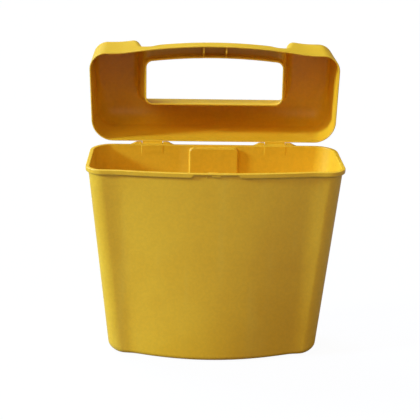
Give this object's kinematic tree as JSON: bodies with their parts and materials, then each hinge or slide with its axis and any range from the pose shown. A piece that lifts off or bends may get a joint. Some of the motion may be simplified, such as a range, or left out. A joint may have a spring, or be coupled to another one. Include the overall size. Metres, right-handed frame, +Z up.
{
  "type": "sharps container",
  "caption": "Tapered wall-backed sharps container with a hinged carry lid: deep tub, rim band, two strap hinges and a lid with a hand opening and grip bar.",
  "frame": {"origin": "middle of the base's underside", "axes": "+Z up, +Y towards the flat hinge side, +X to the right seen from the bowed front, which faces -Y"},
  "size_m": [0.2488, 0.1685, 0.2952],
  "materials": {
    "tub_plastic": "moulded yellow polypropylene, fine grain, satin",
    "lid_plastic": "moulded yellow polypropylene, satin, a little glossier inside",
    "hinge_plastic": "thin moulded yellow polypropylene web"
  },
  "bodies": {
    "container": {"tub_body": "tub_plastic", "rim_band": "tub_plastic", "latch_catch": "tub_plastic", "hinge_lug_left": "tub_plastic", "hinge_lug_right": "tub_plastic", "hinge_strap_left": "hinge_plastic", "hinge_strap_right": "hinge_plastic"},
    "lid": {"lid_shell": "lid_plastic", "bar_rib_left": "lid_plastic", "bar_rib_right": "lid_plastic"}
  },
  "joints": [
    {"name": "lid_hinge", "type": "hinge", "parent": "container", "child": "lid", "pos_m": [0, 0.0509, 0.1955], "axis": [1, 0, 0], "range_deg": [-2, 91], "deforming": ["hinge_strap_left", "hinge_strap_right"]}
  ]
}
